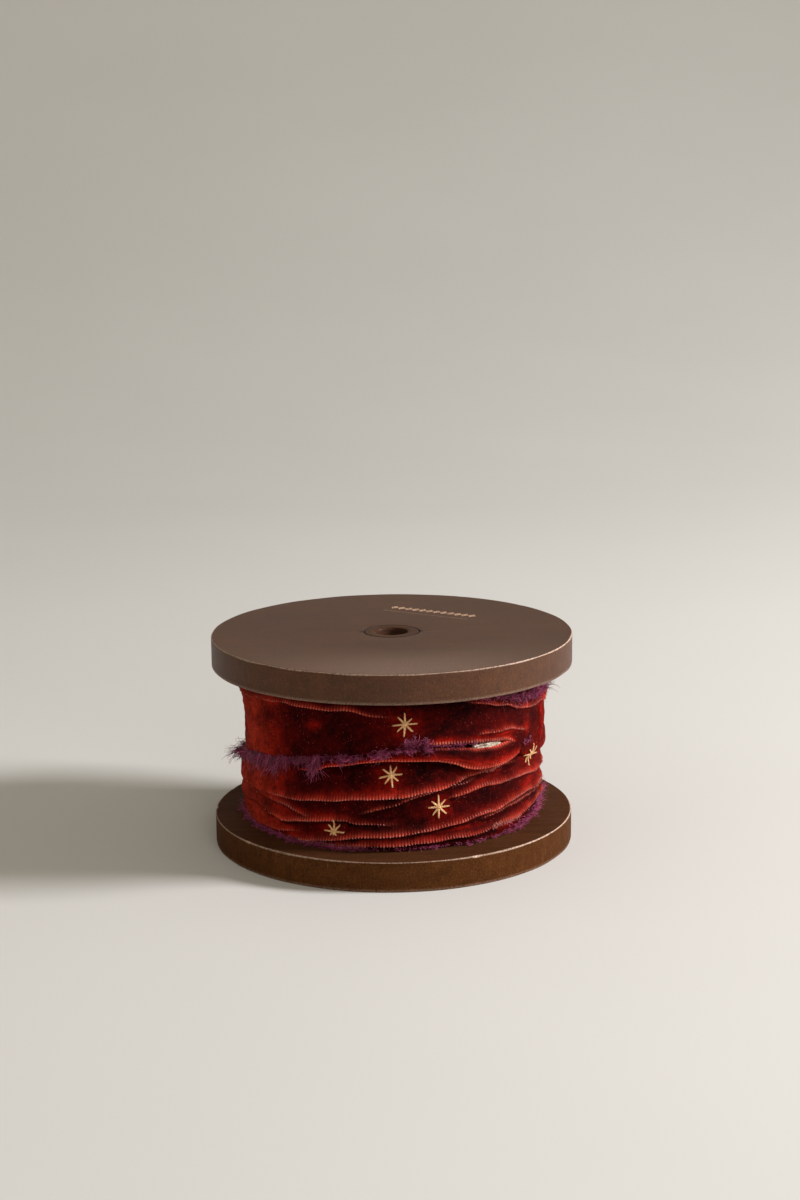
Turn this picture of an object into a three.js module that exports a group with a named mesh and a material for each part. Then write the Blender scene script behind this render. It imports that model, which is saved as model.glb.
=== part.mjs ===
// A wooden ribbon spool: two round flanges on a bored hub, wound with a velvet ribbon that is
// gathered into folds, frayed along its raw edges and embroidered with small gold stars.
//
// Millimetres, +Z up. The origin is on the surface that the spool stands on, on its axis.
// Places on the winding are given as an angle and a height. The angle is in degrees, 0 at the
// front (-Y) and growing to the right (+X).
import * as THREE from "three";

// ---------------------------------------------------------------- driving dimensions
const FLANGE_R = 50;
const FLANGE_T = 8.2;
const SPOOL_H = 58.6;
const EDGE_BREAK = 0.4; // the small round on each turned wooden edge
const HUB_R = 12;
const TENON_R = 7.5;
const BORE_R = 4.5;
const FIT = 0.3; // clearance between neighbouring pieces

const RIBBON_BASE_Z = FLANGE_T + FIT;
const RIBBON_TOP_Z = SPOOL_H - FLANGE_T - FIT;
const TAPE_T = 0.3;
const INNER_R = HUB_R + FIT + TAPE_T + FIT; // where the first turn of ribbon starts
const CORE_R = 38; // outside of the plain inner turns
const TURN_R = CORE_R + FIT; // inside of the two outer turns
const GROOVE_R = 39.4; // floor of the groove that the tucked tail lies in
const VALLEY_R = 41; // the lower turn between its folds
const UPPER_R = 42.4; // the upper turn's outer face
const TAIL_R = 43.2; // the tail's outer face

const STAR_REACH = 3.2; // from a star's centre to the end of a ray
const STAR_HUB_R = 0.9;
const RAY_W = 0.6;
const RAYS = 8;
const THREAD_T = 0.4; // how thick the embroidery lies

// ---------------------------------------------------------------- the winding's lines
// Lower edge of the upper turn: [angle, height], once round.
const UPPER_EDGE = [
  [-180, 31.2], [-150, 30], [-120, 28.4], [-90, 27.4], [-58, 28.9], [-27, 33.4],
  [8, 38.2], [43, 36.6], [60, 32.6], [85, 30.8], [130, 31.6], [180, 31.2],
];

// The tucked tail: [angle, lower edge, upper edge]. It hinges on its first row.
const TAIL = [
  [-32, 29.4, 31.4], [-20, 31.2, 33], [-8, 32.9, 34.6], [4, 33.2, 36], [17, 32.3, 36],
  [29, 29.4, 35.2], [38, 27.8, 34.5], [48, 27.8, 33.4], [54.5, 29.6, 31.4],
];
const TAIL_START = TAIL[0][0];
const TAIL_END = TAIL[TAIL.length - 1][0];
const GROOVE_RAMP = 8; // degrees over which the groove fades out past each end of the tail

// Folds of the lower turn: how far each stands out, how tall it is, and its crest, once round
// or between its ends: [angle, height].
const FOLDS = [
  { out: 1.7, tall: 2.2, crest: [[-180, 21], [-120, 19], [-62, 19.9], [-21, 22.2], [10, 24.2], [40, 26.9],
    [66, 23.4], [120, 21], [180, 21]] },
  { out: 1.3, tall: 1.8, crest: [[-180, 14.2], [-120, 15.6], [-58, 15.2], [-20, 16.6], [10, 13.5], [46, 17.1],
    [82, 17.9], [130, 15], [180, 14.2]] },
  { out: 1.5, tall: 1.8, crest: [[-180, 10.6], [-110, 11.4], [-46, 9.6], [-5, 10], [32, 11.4], [76, 14],
    [130, 11], [180, 10.6]] },
];

// Embroidered stars: [angle, height]. The first four are on the upper turn.
const STARS = [
  [4.6, 43.4], [100, 41], [165, 42.5], [-125, 40.5],
  [-0.5, 29.4], [17.1, 19.9], [-22.2, 13.2], [63, 28.3], [105, 17.6],
  [135, 25.4], [170, 15.4], [-155, 24.6], [-120, 12.6], [-95, 23.4],
];
const STARS_ON_UPPER_TURN = 4;
const BACKING = [37, 35.9]; // the white backing of a star, seen in the slit above the tail
const BACKING_SIZE = [7, 1]; // along the slit, and up it

const ROUND_STEPS = 96; // round a flange
const TURN_STEPS = 72; // round the outer turns

// ---------------------------------------------------------------- helpers
const radians = THREE.MathUtils.degToRad;

// A smooth function through rows of [angle, value, ...], level at both ends: column picks which
// value.
function through(rows, column = 1) {
  const last = rows.length - 1;
  const slope = (i) => {
    if (i === 0 || i === last) return 0;
    return (rows[i + 1][column] - rows[i - 1][column]) / (rows[i + 1][0] - rows[i - 1][0]);
  };
  return (angle) => {
    let i = 1;
    while (i < last && rows[i][0] < angle) i++;
    const [a, b] = [rows[i - 1], rows[i]];
    const width = b[0] - a[0];
    const t = THREE.MathUtils.clamp((angle - a[0]) / width, 0, 1);
    const bend = t * (1 - t) * width * ((1 - t) * slope(i - 1) - t * slope(i));
    return THREE.MathUtils.lerp(a[column], b[column], t * t * (3 - 2 * t)) + bend;
  };
}

function onDrum(angle, r, z) {
  const a = radians(angle);
  return [r * Math.sin(a), -r * Math.cos(a), z];
}

// A solid whose [r, z] outline changes along the winding. outlineAt(angle) runs from the bottom
// of the inner face, out, up the outer face and back in, always with the same number of points.
function band(outlineAt, from, to, steps) {
  const closed = to - from >= 360;
  const rings = closed ? steps : steps + 1;
  const position = [];
  let count = 0;
  for (let i = 0; i < rings; i++) {
    const angle = from + ((to - from) * i) / steps;
    const outline = outlineAt(angle);
    count = outline.length;
    for (const [r, z] of outline) position.push(...onDrum(angle, r, z));
  }
  const index = [];
  for (let i = 0; i < steps; i++) {
    const ring = i * count;
    const next = ((i + 1) % rings) * count;
    for (let j = 0; j < count; j++) {
      const k = (j + 1) % count;
      index.push(ring + j, next + j, next + k, ring + j, next + k, ring + k);
    }
  }
  if (!closed) {
    const end = steps * count;
    for (let j = 1; j < count - 1; j++) index.push(0, j, j + 1, end, end + j + 1, end + j);
  }
  const geometry = new THREE.BufferGeometry();
  geometry.setAttribute("position", new THREE.Float32BufferAttribute(position, 3));
  geometry.setIndex(index);
  geometry.computeVertexNormals();
  return geometry;
}

// An oval outline between two radii and two heights.
function oval(innerR, outerR, low, high, points = 12) {
  const outline = [];
  for (let i = 0; i < points; i++) {
    const a = (2 * Math.PI * i) / points - Math.PI / 2;
    outline.push([
      (innerR + outerR) / 2 + ((outerR - innerR) / 2) * Math.cos(a),
      (low + high) / 2 + ((high - low) / 2) * Math.sin(a),
    ]);
  }
  return outline;
}

// A closed outline of [r, z] points turned once round the axis.
function turned(outline, steps = ROUND_STEPS) {
  const points = [...outline, outline[0]].map(([r, z]) => new THREE.Vector2(r, z));
  return new THREE.LatheGeometry(points, steps).rotateX(Math.PI / 2);
}

// ---------------------------------------------------------------- wood
function flange(low) {
  const high = low + FLANGE_T;
  const [hole, b] = [TENON_R + FIT, EDGE_BREAK];
  return turned([
    [hole, low], [FLANGE_R - b, low], [FLANGE_R, low + b], [FLANGE_R, high - b],
    [FLANGE_R - b, high], [hole, high],
  ]);
}

// One turned piece: a barrel that sets the flanges apart, a tenon through each of them, and a
// bore from end to end for the rod that the spool turns on.
function hub() {
  const [low, high] = [FLANGE_T + FIT, SPOOL_H - FLANGE_T - FIT];
  return turned([
    [BORE_R, 0], [TENON_R, 0], [TENON_R, low], [HUB_R, low], [HUB_R, high],
    [TENON_R, high], [TENON_R, SPOOL_H], [BORE_R, SPOOL_H],
  ], 48);
}

// ---------------------------------------------------------------- ribbon
// The strip of tape that holds the ribbon's inner end on the hub.
function endTape() {
  const [inner, margin] = [HUB_R + FIT, 6];
  const [low, high] = [RIBBON_BASE_Z + margin, RIBBON_TOP_Z - margin];
  const outline = [[inner, low], [inner + TAPE_T, low], [inner + TAPE_T, high], [inner, high]];
  return band(() => outline, -30, 30, 10);
}

function innerTurns() {
  return turned([
    [INNER_R, RIBBON_BASE_Z], [CORE_R, RIBBON_BASE_Z], [CORE_R, RIBBON_TOP_Z], [INNER_R, RIBBON_TOP_Z],
  ], 64);
}

const upperEdge = through(UPPER_EDGE);
const tailLow = through(TAIL, 1);
const tailHigh = through(TAIL, 2);
const folds = FOLDS.map((f) => ({ ...f, height: through(f.crest) }));
const bell = (x) => Math.exp(-x * x);

// The last whole turn, pushed up under the upper flange, with a fold rolled under its lower edge.
function upperTurnOutline(angle) {
  const [low, high] = [upperEdge(angle), RIBBON_TOP_Z];
  const hem = 1.2;
  return [
    [TURN_R, low], [UPPER_R - hem, low], [UPPER_R - 0.2, low + hem], [UPPER_R + 0.2, low + 2 * hem],
    [UPPER_R - 0.3, (low + high) / 2], [UPPER_R, high - 2], [UPPER_R - hem, high], [TURN_R, high],
  ];
}

// How far the lower turn's face is from the axis: a valley, its folds, and the groove that the
// tail is tucked into.
function lowerTurnR(angle, z) {
  let r = VALLEY_R;
  for (const f of folds) r += f.out * bell((z - f.height(angle)) / f.tall);
  const cut = Math.min(r, GROOVE_R + 1.2 * Math.max(0, tailLow(angle) - 1 - z));
  const { smoothstep, lerp } = THREE.MathUtils;
  const before = smoothstep(angle, TAIL_START - GROOVE_RAMP, TAIL_START);
  const after = smoothstep(angle, TAIL_END, TAIL_END + GROOVE_RAMP);
  return lerp(r, cut, before * (1 - after));
}

function lowerTurnOutline(angle) {
  const [low, high, levels] = [RIBBON_BASE_Z, upperEdge(angle) - FIT, 16];
  const outline = [[TURN_R, low]];
  for (let k = 0; k <= levels; k++) {
    const z = THREE.MathUtils.lerp(low, high, k / levels);
    outline.push([lowerTurnR(angle, z), z]);
  }
  outline.push([TURN_R, high]);
  return outline;
}

// The free end: the last stretch of ribbon, rolled lengthways and tucked into the groove.
function tail() {
  const outline = (a) => oval(GROOVE_R + FIT, TAIL_R, tailLow(a), tailHigh(a));
  return band(outline, TAIL_START, TAIL_END, 28);
}

// Raw edges, where purple ground threads stand out of the velvet.
function frayedBottom() {
  const low = RIBBON_BASE_Z;
  return band(() => oval(43.4, 45.6, low, low + 1.3, 6), -180, 180, TURN_STEPS);
}

function frayedMiddle() {
  const outline = (a) => oval(TAIL_R + 0.8, TAIL_R + 2.2, upperEdge(a) - 0.7, upperEdge(a) + 1.1, 6);
  return band(outline, -76, 12, 24);
}

function frayedTop() {
  const high = RIBBON_TOP_Z;
  return band(() => oval(UPPER_R + 0.8, UPPER_R + 2.6, high - 3.2, high, 6), 36, 78, 12);
}

// ---------------------------------------------------------------- embroidery
function starShape() {
  const points = [];
  const half = Math.asin(RAY_W / 2 / STAR_REACH);
  for (let i = 0; i < RAYS; i++) {
    const a = (2 * Math.PI * i) / RAYS;
    for (const side of [-half, half]) {
      points.push(new THREE.Vector2(Math.cos(a + side), Math.sin(a + side)).multiplyScalar(STAR_REACH));
    }
    const notch = a + Math.PI / RAYS;
    points.push(new THREE.Vector2(Math.cos(notch), Math.sin(notch)).multiplyScalar(STAR_HUB_R));
  }
  return new THREE.Shape(points);
}

// The largest radius of a face within reach of a star's centre, so that the star clears it.
function crestNear(face, angle, z) {
  let r = 0;
  for (let da = -5; da <= 5; da += 1) {
    for (let dz = -STAR_REACH; dz <= STAR_REACH; dz += 0.4) r = Math.max(r, face(angle + da, z + dz));
  }
  return r;
}

// Stands a flat motif at a place on the winding, its back to it.
function placeMotif(mesh, angle, z, r) {
  mesh.rotation.set(Math.PI / 2, 0, radians(angle), "ZYX");
  mesh.position.set(...onDrum(angle, r, z));
}

// ---------------------------------------------------------------- the assembly
const wood = new THREE.MeshStandardMaterial({ color: 0x4a3024, roughness: 0.75, metalness: 0 });
const endGrain = new THREE.MeshStandardMaterial({ color: 0x52382a, roughness: 0.8, metalness: 0 });
const velvet = new THREE.MeshStandardMaterial({ color: 0x6e0f08, roughness: 0.9, metalness: 0 });
const fray = new THREE.MeshStandardMaterial({ color: 0x5a2450, roughness: 0.8, metalness: 0 });
const gold = new THREE.MeshStandardMaterial({ color: 0xd9b36a, roughness: 0.4, metalness: 0.3 });
const white = new THREE.MeshStandardMaterial({ color: 0xe6ddce, roughness: 0.8, metalness: 0 });
const clear = new THREE.MeshStandardMaterial({ color: 0xd8d2c0, roughness: 0.3, metalness: 0 });

const spool = new THREE.Group();

function add(name, geometry, material) {
  const mesh = new THREE.Mesh(geometry, material);
  mesh.name = name;
  spool.add(mesh);
  return mesh;
}

add("lower_flange", flange(0), wood);
add("upper_flange", flange(SPOOL_H - FLANGE_T), wood);
add("hub", hub(), endGrain);
add("end_tape", endTape(), clear);
add("ribbon_inner_turns", innerTurns(), velvet);
add("ribbon_upper_turn", band(upperTurnOutline, -180, 180, TURN_STEPS), velvet);
add("ribbon_lower_turn", band(lowerTurnOutline, -180, 180, TURN_STEPS), velvet);
add("ribbon_tail", tail(), velvet);
add("frayed_edge_bottom", frayedBottom(), fray);
add("frayed_edge_middle", frayedMiddle(), fray);
add("frayed_edge_top", frayedTop(), fray);

const starGeometry = new THREE.ExtrudeGeometry(starShape(), { depth: THREAD_T, bevelEnabled: false });
STARS.forEach(([angle, z], i) => {
  const star = add(`star_${String(i + 1).padStart(2, "0")}`, starGeometry, gold);
  const face = i < STARS_ON_UPPER_TURN ? () => UPPER_R + 0.2 : lowerTurnR;
  placeMotif(star, angle, z, crestNear(face, angle, z) + FIT + THREAD_T);
});

const backing = add("star_backing", new THREE.BoxGeometry(...BACKING_SIZE, THREAD_T), white);
placeMotif(backing, ...BACKING, GROOVE_R + 1);

export default spool;
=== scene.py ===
import math

import bpy
import numpy as np
from mathutils import Matrix, Vector


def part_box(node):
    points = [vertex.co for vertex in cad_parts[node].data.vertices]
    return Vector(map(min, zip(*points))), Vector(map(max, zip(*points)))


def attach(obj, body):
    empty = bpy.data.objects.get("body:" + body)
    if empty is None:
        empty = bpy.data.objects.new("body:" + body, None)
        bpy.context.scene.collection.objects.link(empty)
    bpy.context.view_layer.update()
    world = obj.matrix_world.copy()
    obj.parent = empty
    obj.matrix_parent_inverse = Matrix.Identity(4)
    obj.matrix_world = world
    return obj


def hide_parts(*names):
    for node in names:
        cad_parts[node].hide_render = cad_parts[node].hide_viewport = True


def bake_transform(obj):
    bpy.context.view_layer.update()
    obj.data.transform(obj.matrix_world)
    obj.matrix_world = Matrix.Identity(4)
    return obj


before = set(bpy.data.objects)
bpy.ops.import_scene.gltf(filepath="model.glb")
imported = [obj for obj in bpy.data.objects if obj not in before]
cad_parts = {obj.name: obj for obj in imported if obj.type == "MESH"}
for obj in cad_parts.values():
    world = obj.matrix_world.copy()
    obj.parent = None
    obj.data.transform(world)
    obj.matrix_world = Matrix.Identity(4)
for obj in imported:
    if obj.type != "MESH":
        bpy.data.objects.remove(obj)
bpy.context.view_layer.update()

# A wooden ribbon spool, wound with crushed red velvet ribbon. Its raw edges fray into purple
# threads, and stars are embroidered on it in gold thread.
#
# Sizes are in millimetres, and add_piece() turns them into metres. Places on the winding are an
# angle and a height. The angle is in degrees, 0 at the front (-Y), growing to the right (+X).
MM = 0.001


def box_mm(node):
    low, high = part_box(node)
    return np.array(low) / MM, np.array(high) / MM


# ---------------------------------------------------------------- sizes
SPOOL_H = box_mm("upper_flange")[1][2]
FLANGE_R = box_mm("upper_flange")[1][0]
FLANGE_T = box_mm("lower_flange")[1][2]
HUB_R = box_mm("hub")[1][0]
GAP_LOW = box_mm("ribbon_lower_turn")[0][2]
GAP_HIGH = box_mm("ribbon_upper_turn")[1][2]
FIT = 0.3  # clearance between neighbouring pieces
TENON_R = 7.5
HOLE_R = 7.8  # the flanges' holes
BORE_R = 4.5
INNER_R = 12.9  # inside of the first inner turn
CORE_R = box_mm("ribbon_inner_turns")[1][0]
TURN_R = CORE_R + FIT  # inside of the outer turns
FACE_R = 41.0  # the lower turn between its folds
UPPER_R = 42.2  # the upper turn's face
TUCKED_R = 39.6  # the lower turn where the upper one covers it
GROOVE_R = 39.5  # floor of the groove that the tail lies in
TAIL_R = 43.2  # the tail's face
TAIL_START, TAIL_END = -32, 54.5
FULL_SIDE, FULL_WIDE = -88, 24  # where the winding is fullest, and how far that reaches

ROWS_ROUND = 318  # rows of pile round one turn, 0.83 mm apart
COLUMNS = 3 * ROWS_ROUND
FACE_SAMPLES = 420  # heights at which a turn's face is worked out
LOWER_ROWS, UPPER_ROWS = 96, 78  # rows of points up the face of each outer turn
SKIN_ANGLE, SKIN_HEIGHT = 0.5, 0.15  # steps of the map of the winding's skin
THREAD_SIDES, STITCH_SIDES = 3, 5
FRAY_STEPS, TUFT_STEPS, STITCH_STEPS = 6, 5, 7  # points along one thread
FRAY_THREAD_R = 0.068

rng = np.random.default_rng(7)


# ---------------------------------------------------------------- helpers: curves and noise
def through(rows, column=1):
    """A smooth function of angle through rows of (angle, value, ...), level at both ends."""
    x = np.array([row[0] for row in rows], float)
    y = np.array([row[column] for row in rows], float)
    slope = np.zeros_like(y)
    slope[1:-1] = (y[2:] - y[:-2]) / (x[2:] - x[:-2])

    def value(angle):
        t = np.clip(angle, x[0], x[-1])
        i = np.clip(np.searchsorted(x, t, side="right") - 1, 0, len(x) - 2)
        width = x[i + 1] - x[i]
        u = (t - x[i]) / width
        ends = (1 + 2 * u) * (1 - u) ** 2 * y[i] + u * u * (3 - 2 * u) * y[i + 1]
        return ends + width * (u * (1 - u) ** 2 * slope[i] + u * u * (u - 1) * slope[i + 1])

    return value


def smoothstep(x, low, high):
    t = np.clip((x - low) / (high - low), 0, 1)
    return t * t * (3 - 2 * t)


def waves(count, around, across, seed):
    """Smooth noise on the winding, of about -1 to 1: around is the most waves in one turn and
    across the most per millimetre of height."""
    r = np.random.default_rng(seed)
    turns = r.integers(1, around + 1, count)
    heights = r.uniform(-across, across, count) * 2 * np.pi
    phases = r.uniform(0, 2 * np.pi, count)

    def value(angle, z):
        total = 0
        for m, q, p in zip(turns, heights, phases):
            total = total + np.cos(np.radians(angle) * m + z * q + p)
        return total / math.sqrt(count)

    return value


def on_drum(angle, r, z):
    a = np.radians(angle)
    return np.stack(np.broadcast_arrays(r * np.sin(a), -r * np.cos(a), z), -1)


def unit(v):
    return v / np.maximum(np.linalg.norm(v, axis=-1, keepdims=True), 1e-9)


# ---------------------------------------------------------------- helpers: meshes
def add_piece(name, points, faces, material, attributes=None, uv=None, smooth=True):
    """A mesh object from points in millimetres. attributes are numbers for each point, and uv is
    a pair for each point."""
    mesh = bpy.data.meshes.new(name)
    mesh.from_pydata(np.asarray(points, float) * MM, [], faces)
    mesh.polygons.foreach_set("use_smooth", np.full(len(mesh.polygons), smooth))
    for key, values in (attributes or {}).items():
        layer = mesh.attributes.new(key, "FLOAT", "POINT")
        layer.data.foreach_set("value", np.asarray(values, np.float32).ravel())
    if uv is not None:
        corners = np.empty(len(mesh.loops), int)
        mesh.loops.foreach_get("vertex_index", corners)
        layer = mesh.uv_layers.new(name="UVMap")
        layer.data.foreach_set("uv", np.asarray(uv, np.float32)[corners].ravel())
    mesh.materials.append(material)
    obj = bpy.data.objects.new(name, mesh)
    bpy.context.scene.collection.objects.link(obj)
    return obj


def grid_faces(columns, rows, close_columns, close_rows):
    """Quads of a grid whose point (i, j) is number i * rows + j, facing out of a winding whose
    rows run up its outer face."""
    i = np.arange(columns if close_columns else columns - 1)[:, None]
    j = np.arange(rows if close_rows else rows - 1)[None, :]
    i2, j2 = (i + 1) % columns, (j + 1) % rows
    quads = [i * rows + j, i2 * rows + j, i2 * rows + j2, i * rows + j2]
    return np.stack(np.broadcast_arrays(*quads), -1).reshape(-1, 4)


def strand_mesh(paths, radii, sides=THREAD_SIDES):
    """Closed tubes along many paths at once. paths is (strands, steps, 3) and radii is
    (strands, steps)."""
    n, steps, _ = paths.shape
    tangent = unit(np.gradient(paths, axis=1))
    helper = np.where(np.abs(tangent[..., 2:3]) > 0.8, [[[1.0, 0, 0]]], [[[0, 0, 1.0]]])
    side = unit(np.cross(tangent, helper))
    over = np.cross(tangent, side)
    a = 2 * np.pi * np.arange(sides) / sides
    ring = side[:, :, None] * np.cos(a)[:, None] + over[:, :, None] * np.sin(a)[:, None]
    points = paths[:, :, None] + ring * radii[:, :, None, None]
    k = np.arange(steps - 1)[:, None]
    s = np.arange(sides)[None, :]
    s2 = (s + 1) % sides
    here, there = k * sides, (k + 1) * sides
    quad = np.stack(np.broadcast_arrays(here + s, here + s2, there + s2, there + s), -1)
    quad = quad.reshape(-1, 4)
    first = np.arange(n)[:, None, None] * steps * sides
    quads = (quad[None] + first).reshape(-1, 4)
    cap = np.arange(sides)
    starts = (cap[::-1][None] + first[:, 0]).tolist()
    ends = (cap[None] + (steps - 1) * sides + first[:, 0]).tolist()
    return points.reshape(-1, 3), quads.tolist() + starts + ends


# ---------------------------------------------------------------- helpers: materials
class Nodes:
    """A short way to write a node tree: each call adds a node and returns its output."""

    def __init__(self, name):
        self.material = bpy.data.materials.new(name)
        self.material.use_nodes = True
        self.tree = self.material.node_tree
        self.tree.nodes.clear()

    def add(self, kind, output=0, inputs=None, **settings):
        node = self.tree.nodes.new("ShaderNode" + kind)
        for key, value in settings.items():
            setattr(node, key, value)
        for key, value in (inputs or {}).items():
            if isinstance(value, bpy.types.NodeSocket):
                self.tree.links.new(value, node.inputs[key])
            else:
                node.inputs[key].default_value = value
        return node.outputs[output] if node.outputs else None

    def times(self, a, b):
        return self.add("Math", inputs={0: a, 1: b}, operation="MULTIPLY")

    def plus(self, a, b):
        return self.add("Math", inputs={0: a, 1: b}, operation="ADD")

    def cosine(self, a):
        return self.add("Math", inputs={0: a}, operation="COSINE")

    def mix(self, amount, a, b, blend="MIX"):
        a, b = [(*x, 1) if isinstance(x, tuple) and len(x) == 3 else x for x in (a, b)]
        return self.add("Mix", 2, {0: amount, 6: a, 7: b}, data_type="RGBA", blend_type=blend)

    def attribute(self, name):
        return self.add("Attribute", 2, attribute_name=name)

    def position(self):
        return self.add("TexCoord", 3)

    def stretched(self, vector, scale):
        return self.add("Mapping", inputs={0: vector, 3: scale})

    def noise(self, vector, scale, detail=3.0, roughness=0.55):
        inputs = {"Vector": vector, "Scale": scale, "Detail": detail, "Roughness": roughness}
        return self.add("TexNoise", inputs=inputs)

    def steps(self, value, low, high, to_low=0.0, to_high=1.0):
        """value from low to high, as to_low to to_high."""
        inputs = {0: value, 1: low, 2: high, 3: to_low, 4: to_high}
        return self.add("MapRange", inputs=inputs, clamp=True)

    def bump(self, height, distance, strength):
        inputs = {"Height": height, "Distance": distance, "Strength": strength}
        return self.add("Bump", inputs=inputs)

    def surface(self, **inputs):
        named = {key.replace("_", " "): value for key, value in inputs.items()}
        shader = self.add("BsdfPrincipled", inputs=named)
        self.add("OutputMaterial", inputs={0: shader})
        return self.material


# ---------------------------------------------------------------- materials
# painted shade under the crests
PAINTED_SHADE_PILE = (0.0040, 0.0001, 0.0003)
DARK_PILE = (0.0070, 0.0001, 0.0005)
MOTTLED_PILE = (0.056, 0.0008, 0.0004)
# painted sheen over the crests, and its browner colour on the left
PAINTED_SHEEN_PILE = (0.56, 0.0120, 0.0034)
PAINTED_LEFT_SHEEN_PILE = (0.50, 0.0370, 0.0150)
# a painted highlight on the crests
CREST_HIGHLIGHT_PILE = (1.0, 0.230, 0.150)
SPARKLING_PILE = (0.55, 0.060, 0.028)
PILE_SHEEN = (0.68, 0.032, 0.016, 1)

WOOD_PORE = (0.016, 0.005, 0.002)
WOOD_SPECK = (0.26, 0.130, 0.064)
WOOD_SCRATCH = (0.42, 0.25, 0.15)
# painted warm bounce light from the ribbon, on the flanges' sides
WOOD_SIDE_BOUNCE = (1.02, 0.96, 0.66)
# the joints' dark lines, and painted shade in the hub's bore
WOOD_GRIME_AND_SHADE = (0.010, 0.0045, 0.003)
# worn and chipped edges, a painted highlight on the rim and a painted reflection on the top
WOOD_WORN_AND_HIGHLIGHT = (0.80, 0.58, 0.44)


def velvet_material():
    """Crushed velvet. The pile is nearly black where it faces out and mottled where it is crushed.
    Light and shade are painted into its colour from three marks: one runs from -1, a painted shade
    under a crest, to 1, a painted sheen over it; "crest" is a painted highlight in rows along each
    crest; and one is 1 on the left, where the painted sheen is browner."""
    n = Nodes("crushed_velvet")
    where = n.position()
    crest, painted_light = n.attribute("crest"), n.attribute("painted_light")
    across = n.add("SeparateXYZ", 0, {0: n.add("UVMap", uv_map="UVMap")})
    row = n.cosine(n.times(across, 2 * math.pi))
    patches = n.noise(where, 150, 3, 0.55)
    crush = n.noise(where, 900, 4, 0.8)
    fibres = n.noise(n.stretched(where, (1.0, 1.0, 0.55)), 4600, 2, 0.8)
    mottle = n.plus(n.times(patches, 0.68), n.times(crush, 0.32))
    mottle = n.times(n.steps(mottle, 0.40, 0.66), n.steps(row, -1.0, 1.0, 0.86, 1.0))
    cloth = n.mix(mottle, DARK_PILE, MOTTLED_PILE)
    # painted shade under each crest
    cloth = n.mix(n.steps(painted_light, -1.0, 0.0, 0.9, 0.0), cloth, PAINTED_SHADE_PILE)
    # painted sheen over each crest, in blotches, browner on the left
    sheen_spread = n.steps(patches, 0.38, 0.58, 0.45, 1.0)
    sheen_spread = n.times(n.steps(crush, 0.34, 0.60, 0.30, 1.0), sheen_spread)
    painted_sheen = n.times(n.steps(painted_light, 0, 1), sheen_spread)
    painted_sheen_colour = n.mix(n.attribute("left_sheen"), PAINTED_SHEEN_PILE, PAINTED_LEFT_SHEEN_PILE)
    cloth = n.mix(painted_sheen, cloth, painted_sheen_colour)
    # a painted highlight along each crest, broken into the pile's rows
    uneven = n.times(n.steps(fibres, 0.3, 0.7, -1.0, 1.0), 0.8)
    teeth = n.steps(n.plus(row, uneven), -1.2, 0.9)
    crest_highlight = n.times(teeth, n.steps(patches, 0.38, 0.56, 0.3, 1.0))
    crest_highlight = n.times(crest, crest_highlight)
    colour = n.mix(crest_highlight, cloth, CREST_HIGHLIGHT_PILE)
    sparkle = n.times(n.steps(fibres, 0.60, 0.72), n.steps(crush, 0.48, 0.60, 0.0, 0.55))
    colour = n.mix(sparkle, colour, SPARKLING_PILE)
    ribs = n.times(n.times(row, crest), 0.8)
    relief = n.plus(ribs, fibres)
    return n.surface(
        Base_Color=colour,
        Roughness=0.8,
        Specular_IOR_Level=0.03,
        Sheen_Weight=0.40,
        Sheen_Roughness=0.36,
        Sheen_Tint=PILE_SHEEN,
        Normal=n.bump(relief, 0.0002, 0.8),
    )


def thread_material(name, dark, light, roughness, metallic=0.0):
    """Threads: "shade" is from 0, dark, to 1, light, and differs from thread to thread.
    On tufts of pile it also holds a painted highlight that grows towards their tips.
    """
    n = Nodes(name)
    fine = n.noise(n.position(), 2600, 2)
    shade = n.times(n.attribute("shade"), n.steps(fine, 0.3, 0.7, 0.55, 1.1))
    return n.surface(
        Base_Color=n.mix(shade, dark, light),
        Roughness=roughness,
        Metallic=metallic,
        Normal=n.bump(fine, 0.0001, 0.5),
    )


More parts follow.
